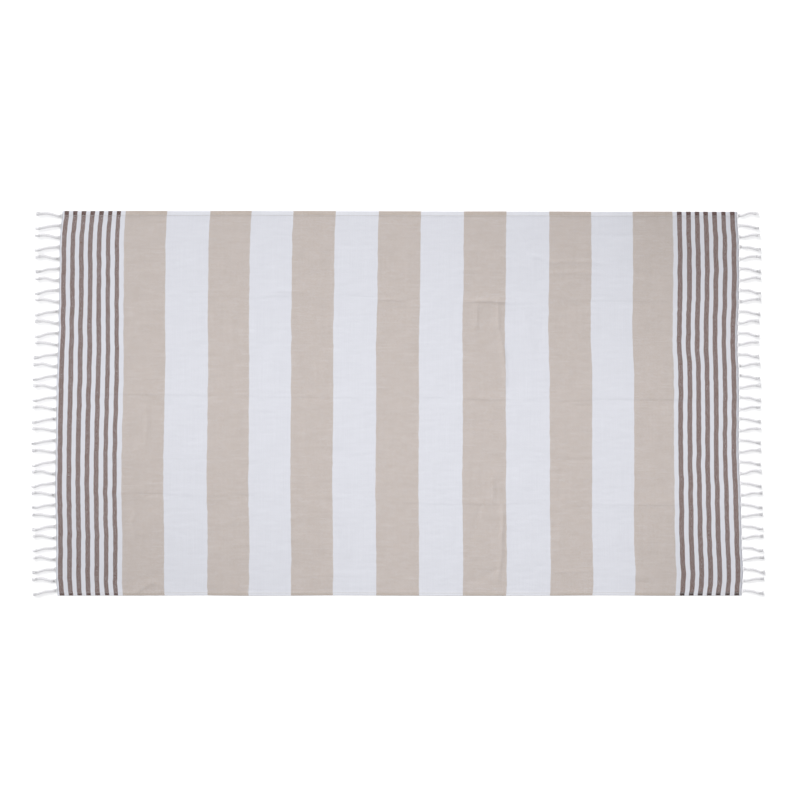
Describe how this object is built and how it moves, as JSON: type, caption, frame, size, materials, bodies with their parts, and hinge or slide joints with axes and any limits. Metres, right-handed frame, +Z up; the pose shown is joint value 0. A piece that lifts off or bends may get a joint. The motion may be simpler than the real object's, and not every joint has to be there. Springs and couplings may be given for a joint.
{
  "type": "beach towel",
  "caption": "Thin flat-woven cotton beach towel lying flat, with bands and narrow stripes across it, hemmed long sides and a tasselled fringe at both ends, for drying off or lying on.",
  "frame": {"origin": "on the surface that the towel lies on, in the middle of its box", "axes": "+X along the towel's length, towards the right-hand fringe; +Y across it, towards the wider hem; +Z up"},
  "size_m": [1.91, 1, 0.009],
  "materials": {
    "woven_cloth": "matte flat-woven cotton",
    "fringe_cotton": "matte twisted cotton yarn"
  },
  "bodies": {
    "root": {"cloth": "woven_cloth", "fringe_left": "fringe_cotton", "fringe_right": "fringe_cotton"}
  },
  "joints": []
}
